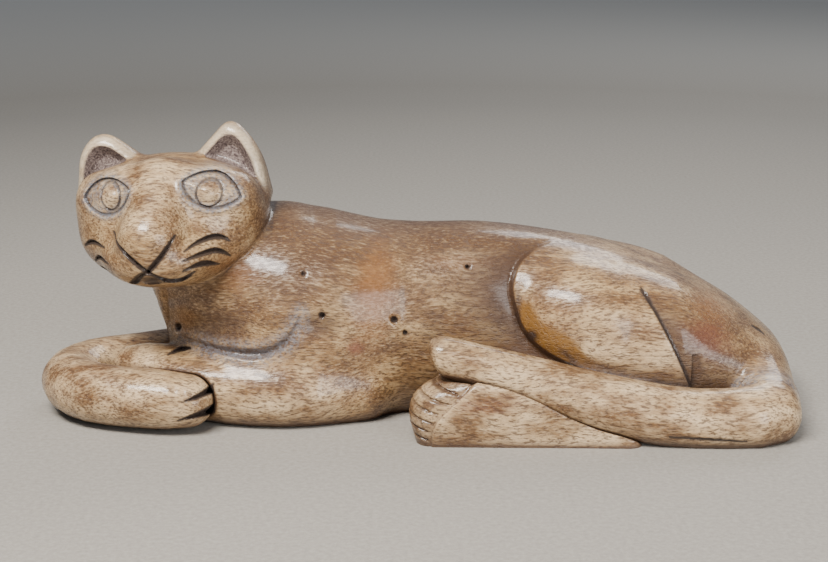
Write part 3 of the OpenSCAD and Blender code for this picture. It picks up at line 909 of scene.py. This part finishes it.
class Grain:
    """The patterns of open pored wood with its grain along X. All lengths are millimetres."""

    def __init__(self, n):
        self.mm = n.millimetres()
        wander = n.node("TexNoise", 1, Vector=self.mm, Scale=0.018, Detail=1.0)
        self.drift = n.vector("MULTIPLY_ADD", wander, (14, 14, 14), self.mm)
        # growth rings around a pith well below the piece
        from_pith = n.vector("ADD", self.drift, (0, -70, 190))
        radius = n.vector("LENGTH", n.vector("MULTIPLY", from_pith, (0.05, 1, 1)), out=1)
        self.ring = n.math("POWER", n.math("FRACT", n.math("MULTIPLY", radius, 0.24)), 3.0)
        self.streak = n.noise(n.stretch(self.drift, (0.035, 0.9, 0.9)), 1.0, 3.0, 0.6)
        self.fleck = n.noise(n.stretch(self.drift, (0.30, 1.25, 1.25)), 1.0, 2.0, 0.65)
        self.pore = n.ramp(self.fleck, 0.51, 0.63)
        self.fine = n.noise(n.stretch(self.mm, (0.8, 2.2, 2.2)), 1.0, 2.0, 0.6)
        self.cloud = n.noise(self.mm, 0.03, 4.0, 0.6)
        self.mottle = n.noise(n.stretch(self.mm, (0.05, 0.11, 0.11)), 1.0, 3.0, 0.6)


def bare_colour(n, grain, raw):
    """The wood's broad colours."""
    light, dark, spot = (PALE, HONEY, TAN) if raw else (HONEY, TAN, BROWN)
    body = n.mix(n.ramp(grain.cloud, 0.36, 0.64), light, dark)
    body = n.lay(body, n.ramp(grain.mottle, 0.44, 0.66), 0.15 if raw else 0.8, spot)
    body = n.lay(body, n.ramp(grain.mottle, 0.50, 0.30), 0.55, PALE)
    body = n.lay(body, grain.ring, 0.22, BROWN)
    body = n.lay(body, n.ramp(grain.streak, 0.45, 0.75), 0.45, BROWN)
    return n.lay(body, n.ramp(grain.streak, 0.48, 0.28), 0.35, PALE)


def stained(n, grain, body):
    """The all-over stain, with painted shade under the head and on its right side, and the pale places where
    it has worn off.
    """
    uneven = n.math("SUBTRACT", grain.mottle, 0.5)
    # the stain, which also carries the painted shade of the head
    stain = n.ramp(n.math("MULTIPLY_ADD", uneven, 0.9, n.attr("stain_and_head_shade")), 0.0, 1.0)
    body = n.lay(body, stain, 0.95, STAIN_AND_SHADE)
    rubbed = n.ramp(n.attr("stain_and_head_shade"), 0.0, -0.7, 0.0, 0.75)
    return n.lay(body, rubbed, n.ramp(grain.mottle, 0.62, 0.34), WORN)


def pored(n, grain, body, raw):
    """Pale flecks, dark open pores and the finest lines."""
    body = n.lay(body, n.ramp(grain.fleck, 0.46, 0.30), 0.35, FLECK)
    body = n.lay(body, grain.pore, 0.25 if raw else 0.75, PORE)
    return n.lay(body, n.ramp(grain.fine, 0.54, 0.68), 0.2 if raw else 0.4, FINE_GRAIN)


def weathered(n, grain, body, gloss, height):
    """Patches of stain, painted shade in the hollows and along the cut lines, dark spots with more painted
    shade, polish caught in the carving, and ears.
    """
    ragged = n.noise(n.stretch(grain.drift, (0.12, 0.35, 0.35)), 1.0, 4.0, 0.65)

    def patch(name, spread=0.45):
        """An attribute with its edge broken up along the grain."""
        v = n.math("MULTIPLY_ADD", n.math("SUBTRACT", ragged, 0.5), spread*2, n.attr(name))
        return n.math("MULTIPLY", n.ramp(v, 0.15, 0.8), n.ramp(n.attr(name), 0.02, 0.2))

    body = n.lay(body, patch("warm"), 0.75, WARM)
    body = n.lay(body, patch("red"), 0.65, RED)
    body = n.lay(body, patch("amber", 0.3), 0.85, AMBER)
    # painted shade: the wood is darkened where the form closes in around it
    shade = n.math("MULTIPLY_ADD", n.math("SUBTRACT", ragged, 0.5), 0.35, n.attr("hollow"))
    shade = n.ramp(shade, 0.22, 0.85)
    body = n.lay(body, shade, 0.92, SHADE)
    # dark spots and painted shade, near black
    body = n.lay(body, patch("dark_spots_and_shade", 0.25), 0.92, DARK_SPOTS_AND_SHADE)
    chalky = n.math("MULTIPLY", n.attr("chalk"), n.ramp(n.noise(grain.mm, 0.8, 3.0, 0.7), 0.36, 0.62))
    body = n.lay(body, chalky, 0.8, POLISH)
    # painted shade: cut lines, slits, toe cuts, the mouth and borer holes darkened nearly to black
    body = n.lay(body, n.ramp(n.attr("groove"), 0.1, 0.9), 0.93, CUT_SHADE)
    cup = n.ramp(n.attr("cup"), 0.05, 0.8)
    stipple = n.noise(grain.mm, 1.1, 3.0, 0.7)
    body = n.lay(body, cup, 0.95, n.mix(n.ramp(stipple, 0.42, 0.62), CUP_PALE, CUP_DARK))
    body = n.lay(body, n.ramp(n.attr("rim"), 0.1, 0.7), n.ramp(ragged, 0.3, 0.6, 0.35, 0.75), EAR_EDGE)
    dull = n.math("MAXIMUM", n.math("MAXIMUM", cup, n.math("MULTIPLY", chalky, 0.8)), n.attr("groove"))
    gloss = n.math("MULTIPLY_ADD", dull, 0.35, gloss)
    height = n.math("MULTIPLY_ADD", n.math("MULTIPLY", cup, stipple), 3.0, height)
    height = n.math("MULTIPLY_ADD", n.math("MULTIPLY", shade, ragged), 1.5, height)
    return body, gloss, height


def wood(name, raw=False):
    """Open pored wood: stained, varnished and weathered, or raw."""
    n = Nodes(name)
    grain = Grain(n)
    body = bare_colour(n, grain, raw)
    if not raw:
        body = stained(n, grain, body)
    body = pored(n, grain, body, raw)
    height = n.math("MULTIPLY_ADD", grain.pore, -0.8, n.math("MULTIPLY", grain.fine, 0.35))
    gloss = n.ramp(grain.fleck, 0.4, 0.7, 0.33, 0.6)
    if not raw:
        body, gloss, height = weathered(n, grain, body, gloss, height)
    n.set(n.shader.inputs["Base Color"], body)
    n.set(n.shader.inputs["Roughness"], gloss)
    n.set(n.shader.inputs["Normal"], n.node("Bump", Strength=0.7, Distance=0.0003, Height=height))
    n.shader.inputs["IOR"].default_value = 1.5
    n.shader.inputs["Coat Weight"].default_value = 0.0 if raw else 0.45
    n.shader.inputs["Coat Roughness"].default_value = 0.14
    return n.mat


def paper():
    """The backdrop: grey paper with a fine tooth, with painted shade darkening it behind the figure and
    painted light making it pale far away.
    """
    n = Nodes("paper")
    at = n.millimetres()
    distance = n.vector("LENGTH", at, out=1)
    tooth = n.ramp(n.noise(at, 0.45, 4.0, 0.75), 0.3, 0.7)
    sheet = n.mix(tooth, (0.29, 0.265, 0.23), (0.40, 0.37, 0.325))
    # painted shade: the paper darkens from 300 to 800 mm out
    sheet = n.mix(n.ramp(distance, 300, 800, 0, 0.55), sheet, (0.12, 0.12, 0.115))
    # painted light: beyond 900 mm it turns pale again, where the lamps fall off
    sheet = n.mix(n.ramp(distance, 900, 2200), sheet, (0.62, 0.64, 0.64))
    n.set(n.shader.inputs["Base Color"], sheet)
    n.shader.inputs["Roughness"].default_value = 0.9
    return n.mat


# ---- floor, light and camera -----------------------------------------------------------------------
FLOOR_RADIUS, FLOOR_DROP = 5000, 0.05
CAMERA_RISE = math.radians(15)
CAMERA_AWAY = 0.8
LOOK_AT = (0, -0.020, 0.059)


def area(name, at, to, size, power, colour):
    """A rectangular lamp at a place, turned to face another."""
    light = bpy.data.lights.new(name, "AREA")
    light.shape = "RECTANGLE"
    light.size, light.size_y = size
    light.energy = power
    light.color = colour
    ob = bpy.data.objects.new(name, light)
    bpy.context.scene.collection.objects.link(ob)
    ob.location = at
    ob.rotation_euler = (Vector(to)-Vector(at)).to_track_quat("-Z", "Y").to_euler()


def lay_floor():
    turns = [math.radians(5*i) for i in range(72)]
    rim = [(FLOOR_RADIUS*math.cos(t), FLOOR_RADIUS*math.sin(t), -FLOOR_DROP) for t in turns]
    floor = make("backdrop", rim, [list(range(len(rim)))])
    floor.data.materials.append(paper())


def light_scene():
    area("window", (-0.35, -0.68, 1.05), (0, 0, 0.04), (0.7, 0.3), 30, (1.0, 0.97, 0.93))
    area("fill", (0.7, -0.9, 0.3), (0, 0, 0.04), (0.6, 0.6), 8, (0.95, 0.97, 1.0))
    area("back", (0.5, 0.9, 0.8), (0, 0, 0.03), (0.7, 0.5), 6, (1, 1, 1))
    world = bpy.data.worlds.new("studio")
    world.use_nodes = True
    background = world.node_tree.nodes["Background"]
    background.inputs["Color"].default_value = (0.85, 0.9, 1.0, 1)
    background.inputs["Strength"].default_value = 0.2
    bpy.context.scene.world = world


def place_camera():
    lens = bpy.data.cameras.new("camera")
    lens.sensor_width = 36
    lens.lens = 79.96
    camera = bpy.data.objects.new("camera", lens)
    bpy.context.scene.collection.objects.link(camera)
    x, y, z = LOOK_AT
    camera.location = (x, y-CAMERA_AWAY*math.cos(CAMERA_RISE), z+CAMERA_AWAY*math.sin(CAMERA_RISE))
    camera.rotation_euler = (math.radians(90)-CAMERA_RISE, 0, 0)
    bpy.context.scene.camera = camera


# ---- everything together ---------------------------------------------------------------------------
carve_torso()
carve_head()
carve_ear(1, "left")
carve_ear(-1, "right")
carve_forelegs()
carve_hind_feet()
carve_tail()

body_wood = wood("carved_wood")
for ob, node, slot in pieces.values():
    paint(ob)
    ob.data.materials.clear()
    ob.data.materials.append(body_wood)
    ob.data.polygons.foreach_set("material_index", [0]*len(ob.data.polygons))
    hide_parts(node)
    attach(ob, "root")

peg_wood = wood("dowel_wood", raw=True)
for node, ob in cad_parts.items():
    if "dowel" in node or "peg" in node:
        for material_slot in ob.material_slots:
            material_slot.material = peg_wood

lay_floor()
light_scene()
place_camera()
